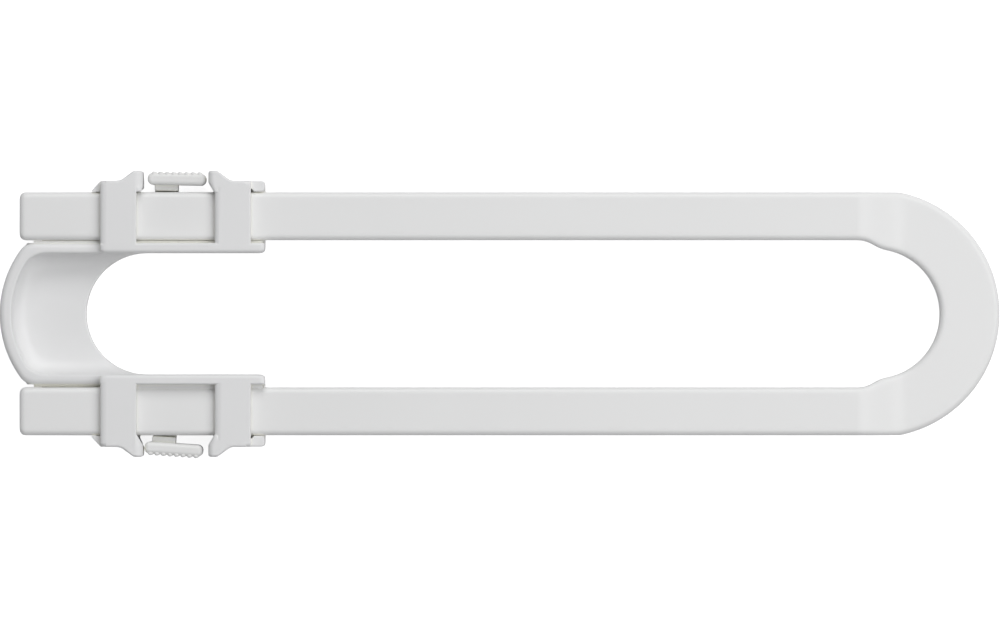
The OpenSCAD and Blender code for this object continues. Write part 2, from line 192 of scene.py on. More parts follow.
def skin_of_rings(rings: Array, flat_ends: bool = False) -> Skin:
    """Joins closed rings by four-sided faces and closes both ends.

    Args:
        rings: Points with the shape (rings, points in a ring, 3).
        flat_ends: True for one flat face at each end, which may be hollow in outline. False for
            faces that meet at the middle of the end ring.

    Returns:
        The closed skin.
    """
    count, around, _ = rings.shape
    here = np.arange(around)
    beside = (here + 1) % around
    row = np.arange(count - 1)[:, None] * around
    quads = np.stack([row + here, row + beside, row + around + beside, row + around + here], -1)
    faces = quads.reshape(-1, 4).tolist()
    points = rings.reshape(-1, 3)
    top = (count - 1) * around
    if flat_ends:
        faces += [here[::-1].tolist(), (top + here).tolist()]
        return Skin(points, faces)
    first, last = len(points), len(points) + 1
    faces += np.stack([beside, here, np.full(around, first)], -1).tolist()
    faces += np.stack([top + here, top + beside, np.full(around, last)], -1).tolist()
    return Skin(np.vstack([points, rings[[0, -1]].mean(1)]), faces)


def soft_slab(
    outline: Array, low: float, high: float, top_r: float, foot_r: float = 0.15, steps: int = 5,
    lean: Array | float = 0.0,
) -> Skin:
    """A slab over an outline, with rounded edges at the top and the foot.

    The outline is drawn in by r times (1 - cos a) where its height is r times (1 - sin a) below
    the top, for a from 0 to a quarter turn, and likewise at the foot. A lean widens the top's
    round to a quarter ellipse: it shifts a point by its X and Y times (1 - cos a), and lowers
    it by its Z times (1 - sin a).

    Args:
        outline: Closed outline seen from the front.
        low: Height of the foot.
        high: Height of the top.
        top_r: Radius of the top edge.
        foot_r: Radius of the foot's edge.
        steps: Steps in each round.
        lean: X, Y and Z for each point of the outline, which then runs anticlockwise.

    Returns:
        The closed skin.
    """
    outline = anticlockwise(distinct(outline))
    turn = quarter(steps + 1)[:, None, None]
    lean = np.broadcast_to(np.asarray(lean, float), (len(outline), 3))[None]
    side = outward(outline)[None]
    foot = outline - side * foot_r * (1 - np.sin(turn))
    top = outline - side * top_r * (1 - np.cos(turn)) + lean[..., :2] * (1 - np.cos(turn))
    rise = np.broadcast_to(low + foot_r * (1 - np.cos(turn)), (*foot.shape[:2], 1))
    crest = high - (top_r + lean[..., 2:]) * (1 - np.sin(turn))
    rings = np.concatenate([np.concatenate([foot, rise], -1), np.concatenate([top, crest], -1)])
    return skin_of_rings(rings, flat_ends=True)


def turned(profile: Array, around: int) -> Skin:
    """Turns a closed profile about the Z axis.

    A point of radius r and height z goes to (r cos a, r sin a, z) for a full turn of a.

    Args:
        profile: Points of radius and height, from the foot's centre to the top's centre.
        around: Steps in the turn.

    Returns:
        The closed skin.
    """
    angle = np.linspace(0, 2 * math.pi, around, endpoint=False)
    r, z = profile[:, 0][:, None], profile[:, 1][:, None]
    rings = np.stack([r * np.cos(angle), r * np.sin(angle), z + 0 * angle], -1)
    return skin_of_rings(rings, flat_ends=True)


def bead(radius: float, low: float, high: float, edge_r: float) -> Skin:
    """A short round post with rounded rims at both ends."""
    s, c = edge_r * (1 - np.sin(quarter(5))), edge_r * (1 - np.cos(quarter(5)))
    foot, top = np.stack([radius - s, low + c], 1), np.stack([radius - c, high - s], 1)
    return turned(np.vstack([foot, top]), 48)


def raw_mesh(name: str, skin: Skin) -> Mesh:
    """A mesh of a skin, still in millimetres, with doubled points merged and faces outwards."""
    mesh = bpy.data.meshes.new(name)
    mesh.from_pydata(skin.points.tolist(), [], skin.faces)
    work = bmesh.new()
    work.from_mesh(mesh)
    bmesh.ops.remove_doubles(work, verts=work.verts, dist=1e-4)
    bmesh.ops.dissolve_degenerate(work, edges=work.edges, dist=1e-5)
    bmesh.ops.recalc_face_normals(work, faces=work.faces)
    work.to_mesh(mesh)
    work.free()
    mesh.validate()
    return mesh


def fused(name: str, first: Skin, others: list[tuple[Skin, Join]]) -> Mesh:
    """Adds skins to the first one, or cuts them out of it, in order.

    Args:
        name: Name of the new mesh.
        first: The skin to start from.
        others: Each further skin, and how it joins.

    Returns:
        One mesh in millimetres.
    """
    scene = bpy.context.scene.collection
    host = bpy.data.objects.new(name + "_blank", raw_mesh(name + "_blank", first))
    scene.objects.link(host)
    tools = []
    for index, (skin, how) in enumerate(others):
        tool_name = f"{name}_tool_{index}"
        tool = bpy.data.objects.new(tool_name, raw_mesh(tool_name, skin))
        scene.objects.link(tool)
        tools.append(tool)
        step = host.modifiers.new(tool_name, "BOOLEAN")
        step.operation = how.value
        step.solver = "MANIFOLD"
        step.object = tool
    graph = bpy.context.evaluated_depsgraph_get()
    mesh = bpy.data.meshes.new_from_object(host.evaluated_get(graph))
    for blank in [host, *tools]:
        spare = blank.data
        bpy.data.objects.remove(blank)
        bpy.data.meshes.remove(spare)
    mesh.name = name
    return mesh


def placed(name: str, mesh: Mesh, sharp: float = 38.0) -> Object:
    """Turns a mesh in millimetres into a shown object in metres.

    Args:
        name: Name of the piece.
        mesh: The mesh, in millimetres.
        sharp: Angle in degrees over which an edge stays crisp.

    Returns:
        The new object, at the origin.
    """
    mesh.transform(Matrix.Scale(MM, 4))
    mesh.shade_smooth()
    mesh.set_sharp_from_angle(angle=math.radians(sharp))
    piece = bpy.data.objects.new(name, mesh)
    bpy.context.scene.collection.objects.link(piece)
    even = piece.modifiers.new("even_shading", "WEIGHTED_NORMAL")
    even.keep_sharp = True
    even.weight = 100
    return piece


def dressed(piece: Object, body: str, slot: str, finish: Material, *nodes: str) -> Object:
    """Gives a piece its material and body, and hides the CAD nodes that it stands for."""
    piece.data.materials.clear()
    piece.data.materials.append(finish)
    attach(piece, body)
    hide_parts(*nodes)
    log.info("%s: %d faces, rides on %s", piece.name, len(piece.data.polygons), body)
    return piece


class Wiring:
    """Adds named nodes to a shader tree and links them."""

    def __init__(self, tree: NodeTree) -> None:
        """Starts with the tree empty."""
        self.tree = tree
        self.nodes: dict[str, Node] = {}
        tree.nodes.clear()

    def fill(self, name: str, **values: float | tuple) -> None:
        """Sets inputs of a node, named with an underscore for each space."""
        for key, value in values.items():
            self.nodes[name].inputs[key.replace("_", " ")].default_value = value

    def add(self, name: str, kind: str, **values: float | tuple) -> Node:
        """Adds a node.

        Args:
            name: Short name for fill and join.
            kind: Blender's name for its type, without ShaderNode in front.
            values: Inputs to set, as for fill.

        Returns:
            The new node.
        """
        prefix = "" if kind.startswith("NodeGroup") else "ShaderNode"
        self.nodes[name] = self.tree.nodes.new(prefix + kind)
        self.fill(name, **values)
        return self.nodes[name]

    def join(self, links: str) -> None:
        """Links nodes, by links such as `node.output > node.input` with semicolons between."""
        for link in links.split(";"):
            (first, out), (second, into) = (end.strip().split(".") for end in link.split(">"))
            out, into = (int(plug) if plug.isdigit() else plug for plug in (out, into))
            self.tree.links.new(self.nodes[first].outputs[out], self.nodes[second].inputs[into])


class GroupMaker:
    """Builds the shader node groups that the finishes share, each when it is first asked for."""

    @staticmethod
    def _start(name: str, inputs: dict[str, tuple], outputs: dict[str, str]) -> Wiring:
        """Starts a group with the nodes start and end.

        Args:
            name: Name of the group.
            inputs: Kind of each input, and a number that it starts with.
            outputs: Kind of each output.

        Returns:
            The group's wiring.
        """
        tree = bpy.data.node_groups.new(name, "ShaderNodeTree")
        sockets = tree.interface
        for title, (kind, *value) in inputs.items():
            made = sockets.new_socket(name=title, in_out="INPUT", socket_type="NodeSocket" + kind)
            if value:
                made.default_value = value[0]
        for title, kind in outputs.items():
            sockets.new_socket(name=title, in_out="OUTPUT", socket_type="NodeSocket" + kind)
        wiring = Wiring(tree)
        wiring.add("start", "NodeGroupInput")
        wiring.add("end", "NodeGroupOutput")
        return wiring

    @cached_property
    def grain(self) -> NodeTree:
        """Fine satin grain of a moulded face, with slow flow marks under it.

        Height is for a Bump node, and Flow is a mask between 0 and 1.
        """
        inputs = {"Place": ("Vector",), "Grain Size": ("Float", 3500.0)}
        inputs |= {"Flow Size": ("Float", 40.0), "Depth": ("Float", 0.5)}
        wiring = self._start("mould_grain", inputs, {"Height": "Float", "Flow": "Float"})
        wiring.add("fine", "TexNoise", Detail=3.0, Roughness=0.6)
        wiring.add("slow", "TexNoise", Detail=2.0, Distortion=0.6)
        wiring.add("soft", "Math").operation = "MULTIPLY_ADD"
        wiring.join(
            "start.Place > fine.Vector; start.Place > slow.Vector; start.Grain Size > fine.Scale;"
            "start.Flow Size > slow.Scale; fine.Fac > soft.0; start.Depth > soft.1;"
            "slow.Fac > soft.2; soft.0 > end.Height; slow.Fac > end.Flow"
        )
        return wiring.tree

    @cached_property
    def painted_crevice_light(self) -> NodeTree:
        """Painted light in crevices: where ambient occlusion finds a crevice, the colour moves towards
        the lighter, warmer Shade colour, a painted glow for light bounced and scattered inside the white
        plastic; the tone drifts a little with the flow.
        """
        inputs = {"Colour": ("Color",), "Shade": ("Color",)}
        inputs |= {"Reach": ("Float", 0.003), "Flow": ("Float", 0.5)}
        wiring = self._start("painted_crevice_light_group", inputs, {"Colour": "Color"})
        # painted light: the occlusion picks out crevices, which get the lighter, warmer Shade colour as
        # a painted glow
        wiring.add("near", "AmbientOcclusion").samples = 8
        wiring.add("depth", "MapRange", From_Min=0.15, From_Max=0.85)
        wiring.add("tint", "Mix").data_type = "RGBA"
        wiring.add("drift", "MapRange", To_Min=0.985, To_Max=1.015)
        wiring.add("tone", "VectorMath").operation = "SCALE"
        wiring.join(
            "start.Reach > near.Distance; near.AO > depth.Value; depth.Result > tint.Factor;"
            "start.Shade > tint.6; start.Colour > tint.7; start.Flow > drift.Value;"
            "tint.2 > tone.0; drift.Result > tone.Scale; tone.0 > end.Colour"
        )
        return wiring.tree


def blank_material(name: str) -> tuple[Material, Wiring]:
    """A new material, and the wiring of its empty tree."""
    made = bpy.data.materials.new(name)
    made.use_nodes = True
    return made, Wiring(made.node_tree)


@dataclass(frozen=True)
class MouldedPlastic:
    """A satin moulded plastic."""

    name: str
    colour: Triple
    # shade: colour painted into crevices, a painted glow lighter and warmer than the plastic, standing
    # in for bounced light
    shade: Triple
    gloss_from: float = 0.40
    gloss_to: float = 0.48
    grain_size: float = 3200.0
    grain_depth: float = 0.35
    bump: float = 0.012
    # reach: how far the occlusion looks for the crevices that get the painted glow
    reach: float = 0.0010
    ior: float = 1.48

    def material(self, groups: GroupMaker) -> Material:
        """Builds the material: the flow marks set tone and gloss, the grain a fine bump, and crevices
        get painted light, a lighter and warmer colour.

        Args:
            groups: Where the shared groups come from.

        Returns:
            The finished material.
        """
        made, wiring = blank_material(self.name)
        wiring.add("place", "TexCoord")
        wiring.add("grain", "Group").node_tree = groups.grain
        wiring.add("tint", "Group").node_tree = groups.painted_crevice_light
        wiring.fill("grain", Grain_Size=self.grain_size, Depth=self.grain_depth)
        # painted light: crevices within reach take the shade colour, a painted glow for bounced light
        wiring.fill("tint", Colour=(*self.colour, 1.0), Shade=(*self.shade, 1.0), Reach=self.reach)
        wiring.add("satin", "MapRange", From_Min=0.3, From_Max=0.7)
        wiring.fill("satin", To_Min=self.gloss_from, To_Max=self.gloss_to)
        wiring.add("bump", "Bump", Strength=0.25, Distance=self.bump * MM)
        wiring.add("skin", "BsdfPrincipled", IOR=self.ior)
        wiring.add("end", "OutputMaterial")
        wiring.join(
            "place.Object > grain.Place; grain.Flow > tint.Flow; grain.Flow > satin.Value;"
            "grain.Height > bump.Height; tint.Colour > skin.Base Color;"
            "satin.Result > skin.Roughness; bump.Normal > skin.Normal; skin.BSDF > end.Surface"
        )
        return made


@dataclass(frozen=True)
class BrushedSteel:
    """A bright steel with fine drawn lines."""

    name: str
    colour: Triple
    line_size: Triple = (9000.0, 400.0, 400.0)
    line_tone: float = 0.86
    gloss_from: float = 0.22
    gloss_to: float = 0.42
    bump: float = 0.01

    def material(self) -> Material:
        """Builds the material: stretched noise sets the tone, the gloss and a fine bump.

        Returns:
            The finished material.
        """
        made, wiring = blank_material(self.name)
        wiring.add("place", "TexCoord")
        wiring.add("stretch", "Mapping", Scale=self.line_size)
        wiring.add("lines", "TexNoise", Scale=1.0, Detail=4.0)
        tone = wiring.add("tone", "MapRange")
        tone.data_type = "FLOAT_VECTOR"
        tone.inputs[9].default_value = tuple(self.line_tone * c for c in self.colour)
        tone.inputs[10].default_value = self.colour
        wiring.add("gloss", "MapRange", To_Min=self.gloss_from, To_Max=self.gloss_to)
        wiring.add("bump", "Bump", Strength=0.3, Distance=self.bump * MM)
        wiring.add("skin", "BsdfPrincipled", Metallic=1.0)
        wiring.add("end", "OutputMaterial")
        wiring.join(
            "place.Object > stretch.Vector; stretch.Vector > lines.Vector; lines.Color > tone.6;"
            "tone.1 > skin.Base Color; lines.Fac > gloss.Value; gloss.Result > skin.Roughness;"
            "lines.Fac > bump.Height; bump.Normal > skin.Normal; skin.BSDF > end.Surface"
        )
        return made


@dataclass(frozen=True)
class Levels:
    """Heights and places that several pieces share, in millimetres.

    They are those of the CAD, but for wall_out, which follows the photograph, and hair, the small
    step that keeps faces of fused forms out of one plane.
    """

    leg_in: float = 14.7
    leg_out: float = 24.3
    leg_back: float = 3.4
    leg_edge_r: float = 1.15
    bar_t: float = 6.6
    pitch: float = 2.5
    tooth_h: float = 0.8
    saddle_r: float = 12.1
    saddle_x: float = -70.7
    cap_r: float = 21.6
    cap_x: float = -78.4
    rail_out: float = 14.15
    rail_top: float = 9.6
    wall_in: float = 24.85
    wall_out: float = 26.6
    strap_z: float = 10.2
    strap_top: float = 12.2
    yoke_end: float = -46.997
    cover_t: float = 1.2
    window_from: float = -71.298
    window_to: float = -58.247
    lever_z: float = 1.35
    lever_t: float = 1.8
    pin_x: float = -66.8
    arm_in: float = 1.3
    seat_tilt: float = 3.9
    spring_reach: float = 8.0
    spring_len: float = 8.4
    hair: float = 0.02

    @property
    def leg_front(self) -> float:
        """Height of the legs' front."""
        return self.leg_back + self.bar_t

    @property
    def leg_mid(self) -> float:
        """Distance of a leg's middle from the centre line."""
        return (self.leg_in + self.leg_out) / 2


@dataclass
class UBar:
    """The U-shaped bar: two channelled legs with a rack in each, the crank and the round bend."""

    at: Levels
    leg_end_x: float = -96.0
    ramp_x: float = 71.3
    ramp_len: float = 9.8
    bend_x: float = 75.2
    bend_r: float = 12.9
    bend_out_r: float = 24.78
    wall: float = 1.8
    front: float = 2.0
    foot_r: float = 0.3
    hollow_r: float = 0.5
    end_r: float = 1.2
    end_draw: float = 0.8
    rack_from: float = -93.65
    rack_to: float = 68.85
    rib_t: float = 1.4
    rib_angles: tuple[float, ...] = (30.0, 60.0, 90.0)
    rib_clear: float = 4.2
    crank_points: int = 20
    bend_points: int = 34
    crisp: float = 0.04
    near: float = 0.01

    def section(self) -> dict[str, Array]:
        """The channel's closed section, as arrays over the points round it.

        Each point lies at `own` plus `share` times the band's width from the inner edge, at
        height `z`. `hollow` marks the points of the cavity and `rack` those of its outer wall.

        Returns:
            The arrays own, share, z, hollow and rack.
        """
        s, c = np.sin(quarter(7)), np.cos(quarter(7))
        t, w, f, h = self.at.bar_t, self.wall, self.foot_r, self.hollow_r
        r, ceiling = self.at.leg_edge_r, t - self.front
        over = np.linspace(0, 1, 16)[1:-1]
        runs = [
            (r * (1 - c), t - r * (1 - s), 0, 0, 0), (r * (1 - 2 * over), t + 0 * over, over, 0, 0),
            (-r * (1 - s), t - r * (1 - c), 1, 0, 0), (-f * (1 - c), f * (1 - s), 1, 0, 0),
            (-w + f * (1 - s), f * (1 - c), 1, 1, 1), (-w - h * (1 - c), ceiling - h * (1 - s), 1, 1, 1),
            (w + h * (1 - s), ceiling - h * (1 - c), 0, 1, 0), (w - f * (1 - c), f * (1 - s), 0, 1, 0),
            (f * (1 - s), f * (1 - c), 0, 0, 0),
        ]
        whole = [np.stack(np.broadcast_arrays(*map(np.asarray, run))).astype(float) for run in runs]
        own, z, share, hollow, rack = np.concatenate(whole, 1)
        return {"own": own, "z": z, "share": share, "hollow": hollow > 0.5, "rack": rack > 0.5}

    def leg_stations(self) -> Array:
        """Places along a leg: the rounded end, its end wall, and both faces of every tooth."""
        end = self.leg_end_x + self.end_r * (1 - np.cos(quarter(7)))
        cavity = self.leg_end_x + self.wall
        pitch = self.at.pitch
        teeth = np.arange(self.rack_from + pitch, self.rack_to + self.near, pitch)
        both = np.stack([teeth - self.crisp, teeth], 1).ravel()
        return np.concatenate([end, [cavity - self.crisp, cavity], both, [self.ramp_x - self.near]])

    def on_bend(self, radius: float, turn: Array) -> Array:
        """Points of a circle about the bend's centre, by the angle from +Y in degrees."""
        a = np.radians(turn)
        return np.stack([self.bend_x + radius * np.sin(a), radius * np.cos(a)], 1)

    def bend_turns(self, start: float) -> tuple[Array, Array, Array]:
        """Where the section stands round half the bend, with both faces of every rib.

        Args:
            start: Angle in degrees at which the bend begins.

        Returns:
            Angles at the inner and the outer edge, and the share of the cavity that is open.
        """
        around = np.linspace(start, 90, self.bend_points)[1:]
        ribs = np.array(self.rib_angles)[:, None]
        out = np.array([-1.0, -1.0, 1.0, 1.0])
        edge = out * self.rib_t / 2 + np.array([-1, 1, -1, 1]) * self.crisp / 2
        rib_in = (ribs + np.degrees(np.arcsin(edge / self.bend_r))).ravel()
        rib_out = (ribs + np.degrees(np.arcsin(edge / self.bend_out_r))).ravel()
        shut = self.front / 2 / (self.at.bar_t - self.front)
        clear = np.abs(around[:, None] - ribs.ravel()).min(1) > self.rib_clear
        turn_in = np.concatenate([around[clear], rib_in])
        turn_out = np.concatenate([around[clear], rib_out])
        opened = np.concatenate([np.ones(clear.sum()), np.tile([1.0, shut, shut, 1.0], len(ribs))])
        order = np.argsort(turn_out, kind="stable")
        order = order[turn_out[order] <= 90.0]
        return turn_in[order], turn_out[order], opened[order]

    def edges(self) -> tuple[Array, Array, Array]:
        """The inner and outer edge of the band, and the cavity's depth, for half the U.

        The legs run straight. Along the crank the inner edge is a cubic curve that leaves the
        leg level and meets the bend's inner circle on its tangent, while the outer edge stays
        straight. Round the bend both edges are circles about the bend's centre.

        Returns:
            Inner points, outer points, and the share of the cavity's depth that is open.
        """
        at = self.at
        x = self.leg_stations()
        open_leg = np.where(x > self.leg_end_x + self.wall - self.crisp / 2, 1.0, 0.0)
        leg_in = np.stack([x, np.full_like(x, at.leg_in)], 1)
        leg_out = np.stack([x, np.full_like(x, at.leg_out)], 1)
        meet = math.acos(at.leg_out / self.bend_out_r)
        tangent = np.array([math.cos(meet), -math.sin(meet)])
        first = np.array([self.ramp_x, at.leg_in])
        last = self.on_bend(self.bend_r, np.array([math.degrees(meet)]))[0]
        reach = (last[0] - self.ramp_x) / 2
        t = np.linspace(0, 1, self.crank_points)[:, None]
        crank_in = cubic(first, first + [reach, 0], last - tangent * reach, last, t)
        far = self.bend_x + self.bend_out_r * math.sin(meet)
        crank_out = np.concatenate([self.ramp_x + (far - self.ramp_x) * t, 0 * t + at.leg_out], 1)
        turn_in, turn_out, opened = self.bend_turns(math.degrees(meet))
        inner = np.vstack([leg_in, crank_in, self.on_bend(self.bend_r, turn_in)])
        outer = np.vstack([leg_out, crank_out, self.on_bend(self.bend_out_r, turn_out)])
        return inner, outer, np.concatenate([open_leg, np.ones(len(t)), opened])

    def tooth(self, x: Array) -> Array:
        """Height of the rack at places along a leg: a slow rise over each pitch, then a drop."""
        along = (x - self.rack_from) / self.at.pitch
        rise = self.at.tooth_h * (along - np.floor(along + 1e-9))
        return np.where((along < 0) | (x > self.rack_to - 1e-6), 0.0, rise)

    def drop(self, x: Array) -> Array:
        """How far the bar has come down to the door: 3 t² - 2 t³ of the crank's height."""
        t = np.clip((x - self.ramp_x) / self.ramp_len, 0, 1)
        return self.at.leg_back * t * t * (3 - 2 * t)

    def skin(self) -> Skin:
        """Carries the section along the U.

        A point of the section lies on the line from the inner to the outer edge, at its own
        distance from the inner edge, and is lowered by the crank's drop at its place. At the
        free end the section is drawn in along a quarter round. The second half mirrors the
        first.

        Returns:
            The closed skin of the bar.
        """
        form = self.section()
        inner, outer, opened = self.edges()
        span = np.linalg.norm(outer - inner, axis=1)[:, None]
        u = form["own"] + form["share"] * span
        z = np.broadcast_to(form["z"], u.shape).copy()
        z = np.where(form["hollow"], z * opened[:, None], z)
        rack = self.tooth(inner[:, 0])[:, None] * opened[:, None]
        u = np.where(form["rack"], u - rack * (inner[:, 1:2] > self.at.leg_in - self.near), u)
        into = np.clip((inner[:, 0] - self.leg_end_x) / self.end_r, 0, 1)
        inset = self.end_r * (1 - np.sqrt(1 - (1 - into) ** 2))[:, None]
        u = span / 2 + (u - span / 2) * (1 - 2 * inset / span)
        z = z * (1 - self.end_draw * inset / self.at.bar_t)
        flat = inner[:, None] + (outer - inner)[:, None] * (u / span)[..., None]
        level = self.at.leg_back + z - self.drop(flat[..., 0])
        half = np.concatenate([flat, level[..., None]], -1)
        other = half[::-1] * [1, -1, 1]
        return skin_of_rings(np.concatenate([half, other]))

    def build(self, finish: Material) -> Object:
        """Makes the bar and dresses it."""
        piece = placed("u_bar_shell", raw_mesh("u_bar_shell", self.skin()), sharp=32.0)
        return dressed(piece, "bar", "bar_plastic", finish, "u_bar")


def smooth_min(a: Array, b: Array, k: float) -> Array:
    """The lower of two fields, rounded off over the width k where they cross."""
    h = np.maximum(k - np.abs(a - b), 0) / k
    return np.minimum(a, b) - h * h * k / 4


@dataclass
class Yoke:
    """The yoke: closed end with its web, two rails, four straps, outer walls and ears."""

    at: Levels
    rim_w: float = 2.4
    rim_corner: float = 1.4
    rim_edge_r: float = 1.15
    pocket_corner: float = 2.3
    pocket_edge_r: float = 0.45
    web_top: float = 4.2
    fillet: float = 3.0
    slot_edge_r: float = 0.35
    foot_in: float = 0.3
    foot_r: float = 0.25
    tip_r: float = 0.75
    tip_run: float = 1.2
    tip_fall: float = 0.7
    tip_room: float = 0.85
    rail_step: float = 0.5
    rail_points: int = 12
    rail_edge_r: float = 0.5
    rail_slot_r: float = 0.8
    strap_w: float = 7.2
    strap_set: float = 1.3
    strap_in: float = 0.35
    strap_sunk: float = 0.5
    strap_front_r: float = 0.85
    strap_back_r: float = 0.25
    strap_edge_r: float = 0.8
    strap_edge_run: float = 1.4
    strap_far_r: float = 0.3
    sunk: float = 0.9
    lip_gap: float = 0.07
    lip_t: float = 2.2
    lip_over: float = 0.2
    lead_len: float = 2.0
    finger_lip: float = 2.2
    finger_slant: float = 0.4
    lead_radii: tuple[float, ...] = (0.16, 0, 0, 0.6)
    finger_radii: tuple[float, ...] = (0, 0.1, 0.35, 0.7, 0.7, 0)
    finger_foot_radii: tuple[float, ...] = (0, 0.5, 0.5, 0)
    ear_h: float = 2.0
    ear_tip: float = 1.8
    ear_slope: float = 2.7
    ear_step: float = 0.9
    ear_web: float = 0.25
    ear_cut: float = 1.35
    ear_back: float = 1.15
    ear_under: float = 0.5
    leg_ear: tuple[float, ...] = (0.3, 0.7, 0.2, 0.5)
    wall_radii: tuple[float, ...] = (0, 0.3, 0.3, 0.5, 0.9, 2.6, 0)
    leaf_radii: tuple[float, ...] = (0, 0.6, 1.2, 0.6, 0.9, 2.6, 0, 0, 0)
    lean_left: float = 1.3
    lean_right: float = 0.7
    lean_down: float = 0.7
    lean_lip: float = -0.35
    lean_reach: float = 2.6
    lean_rise: float = 1.5
    bead_root: float = 0.5
    bead_h: float = 1.2
    bead_deep: float = 1.2
    bead_sunk: float = 2.3
    bead_shallow: float = 0.3
    bead_from: float = -93.2
    bead_short: float = 0.45

    @property
    def strap_from(self) -> float:
        """Where the first strap starts."""
        return self.at.window_from - self.strap_set - self.strap_w

    @property
    def strap_to(self) -> float:
        """Where the second strap ends."""
        return self.at.window_to + self.strap_set + self.strap_w

    def pocket(self, x: Array, y: Array) -> Array:
        """Distance in from the pocket's wall: the band between the rails and the rim's circle."""
        at = self.at
        far = np.hypot(np.minimum(x - at.cap_x, 0), y)
        return smooth_min(at.saddle_r - np.abs(y), at.cap_r - self.rim_w - far, self.pocket_corner)

    def outside(self, x: Array, y: Array) -> Array:
        """Distance in from the outer face of the rails and the rim."""
        at = self.at
        far = np.hypot(np.minimum(x - at.cap_x, 0), y)
        return smooth_min(at.rail_out - np.abs(y), at.cap_r - far, self.rim_corner)

    def stations(self) -> tuple[Array, Array, Array]:
        """Rays that the section follows: across the upper rail, round the saddle, across the lower.

        Returns:
            Where each ray starts, its direction, and how far its rail's tip is drawn in there.
        """
        at, turn = self.at, quarter(7)
        tip = at.yoke_end - self.tip_run * (1 - np.cos(turn))
        rest = np.linspace(tip[-1] - self.rail_step, at.saddle_x, self.rail_points)
        rail = np.concatenate([tip, rest])
        drawn = np.concatenate([self.tip_r * (1 - np.sin(turn)), np.zeros_like(rest)])
        fan = np.radians(np.linspace(90, 270, 181))[1:-1]
        x = np.concatenate([rail, np.full_like(fan, at.saddle_x), rail[::-1]])
        upper = np.full_like(rail, math.pi / 2)
        angle = np.concatenate([upper, fan, -upper])
        inset = np.concatenate([drawn, np.zeros_like(fan), drawn[::-1]])
        start = np.stack([x, np.zeros_like(x)], 1)
        return start, np.stack([np.cos(angle), np.sin(angle)], 1), inset

    @staticmethod
    def hit(test: Field, start: Array, way: Array, level: Array) -> Array:
        """Distance along each ray at which a field that falls outwards reaches a level, by halving."""
        low, high = np.zeros_like(level), np.full_like(level, 60.0)
        for _ in range(44):
            mid = (low + high) / 2
            inside = test(start[:, :1] + way[:, :1] * mid, start[:, 1:] + way[:, 1:] * mid) > level
            low, high = np.where(inside, mid, low), np.where(inside, high, mid)
        return (low + high) / 2

    def frame_skin(self) -> Skin:
        """Rails, rim and web as one section carried round the slot.

        Along a ray the section runs up the slot's wall, over its rounded edge and the web,
        up the hollow fillet, whose height is r - sqrt(r² - (r - d)²) at the distance d from the
        pocket's wall, up that wall, over the rim's two rounded edges and down its outer face.

        Returns:
            The closed skin.
        """
        at, f, edge_r = self.at, self.fillet, self.slot_edge_r
        start, way, drawn = self.stations()
        rows = len(start)
        drawn = drawn[:, None]
        slot = at.saddle_r + drawn
        s, c = np.sin(quarter(7))[None], np.cos(quarter(7))[None]

        def field(test: Field, level: Array) -> Array:
            """Distances along all the rays for a row of levels."""
            return self.hit(test, start, way, np.broadcast_to(level, (rows, level.shape[-1])).copy())

        def rise(t: Array) -> Array:
            """Height of the web, its fillet and its slot edge along the rays."""
            d = self.pocket(start[:, :1] + way[:, :1] * t, way[:, 1:] * t)
            near = np.clip(f - d, 0, f)
            edge = np.clip(edge_r - (t - slot), 0, edge_r)
            lip = edge_r - np.sqrt(edge_r**2 - edge**2)
            return self.web_top + f - np.sqrt(f * f - near * near) - lip

        flat_end = np.maximum(field(self.pocket, np.array([[f]])), slot)
        lip_t = slot + np.minimum(edge_r * (1 - c[:, 1:]), flat_end - slot)
        lip_end = lip_t[:, -1:]
        flat_t = lip_end + (flat_end - lip_end) * np.linspace(0.1, 1, 8)[None]
        slope = quarter(13)[None, 1:]
        fillet_t = np.maximum(field(self.pocket, f * (1 - np.sin(slope))), slot)
        room = 1 - self.tip_room * drawn / self.tip_r
        r, q = self.pocket_edge_r * room, self.rim_edge_r * room
        inner_t = field(self.pocket, -(r * (1 - c) + drawn))
        outer_t = field(self.outside, q * (1 - c[:, ::-1]) + drawn)
        low_t = field(self.outside, np.array([[0.0, self.foot_r]]) + drawn)
        t = np.concatenate(
            [slot, lip_t, flat_t, fillet_t, inner_t, outer_t, low_t, slot + self.foot_in], 1
        )
        top = at.rail_top - drawn * self.tip_fall
        z = np.concatenate(
            [
                np.full((rows, 1), at.cover_t + self.foot_in), rise(lip_t), rise(flat_t), rise(fillet_t),
                np.maximum(top - r * (1 - s), rise(fillet_t[:, -1:]) + at.hair / 2),
                top - q * (1 - s[:, ::-1]),
                np.broadcast_to([[at.cover_t + self.foot_r, at.cover_t]], (rows, 2)),
                np.full((rows, 1), at.cover_t),
            ],
            1,
        )
        return skin_of_rings(np.stack([start[:, :1] + way[:, :1] * t, way[:, 1:] * t, z], -1))

    @staticmethod
    def along(
        ring: Array, weight: Array | float, ends: tuple[float, float], radii: tuple[float, float],
        runs: tuple[float, float] = (0.0, 0.0),
    ) -> Skin:
        """Carries a section in Y and Z along X, with rounded ends.

        Near an end the section is drawn in by r times (1 - sin a), times each point's weight,
        at the longer of r and the run, times (1 - cos a), from the end.

        Args:
            ring: Closed section that runs anticlockwise.
            weight: Share of the drawing in that each point takes.
            ends: Start and end.
            radii: Radius at either end.
            runs: Length of the round at either end, where it is longer than the radius.

        Returns:
            The closed skin.
        """
        (x0, x1), (r0, r1) = ends, radii
        turn = quarter(8)
        fall = 1 - np.cos(turn)
        along = np.concatenate([x0 + max(r0, runs[0]) * fall, x1 - max(r1, runs[1]) * fall[::-1]])
        inset = np.concatenate([r0 * (1 - np.sin(turn)), r1 * (1 - np.sin(turn[::-1]))])
        share = np.broadcast_to(weight, (len(ring),))[None, :, None]
        flat = ring[None] - outward(ring)[None] * share * inset[:, None, None]
        x = np.broadcast_to(along[:, None, None], (*flat.shape[:2], 1))
        return skin_of_rings(np.concatenate([x, flat], -1), flat_ends=True)

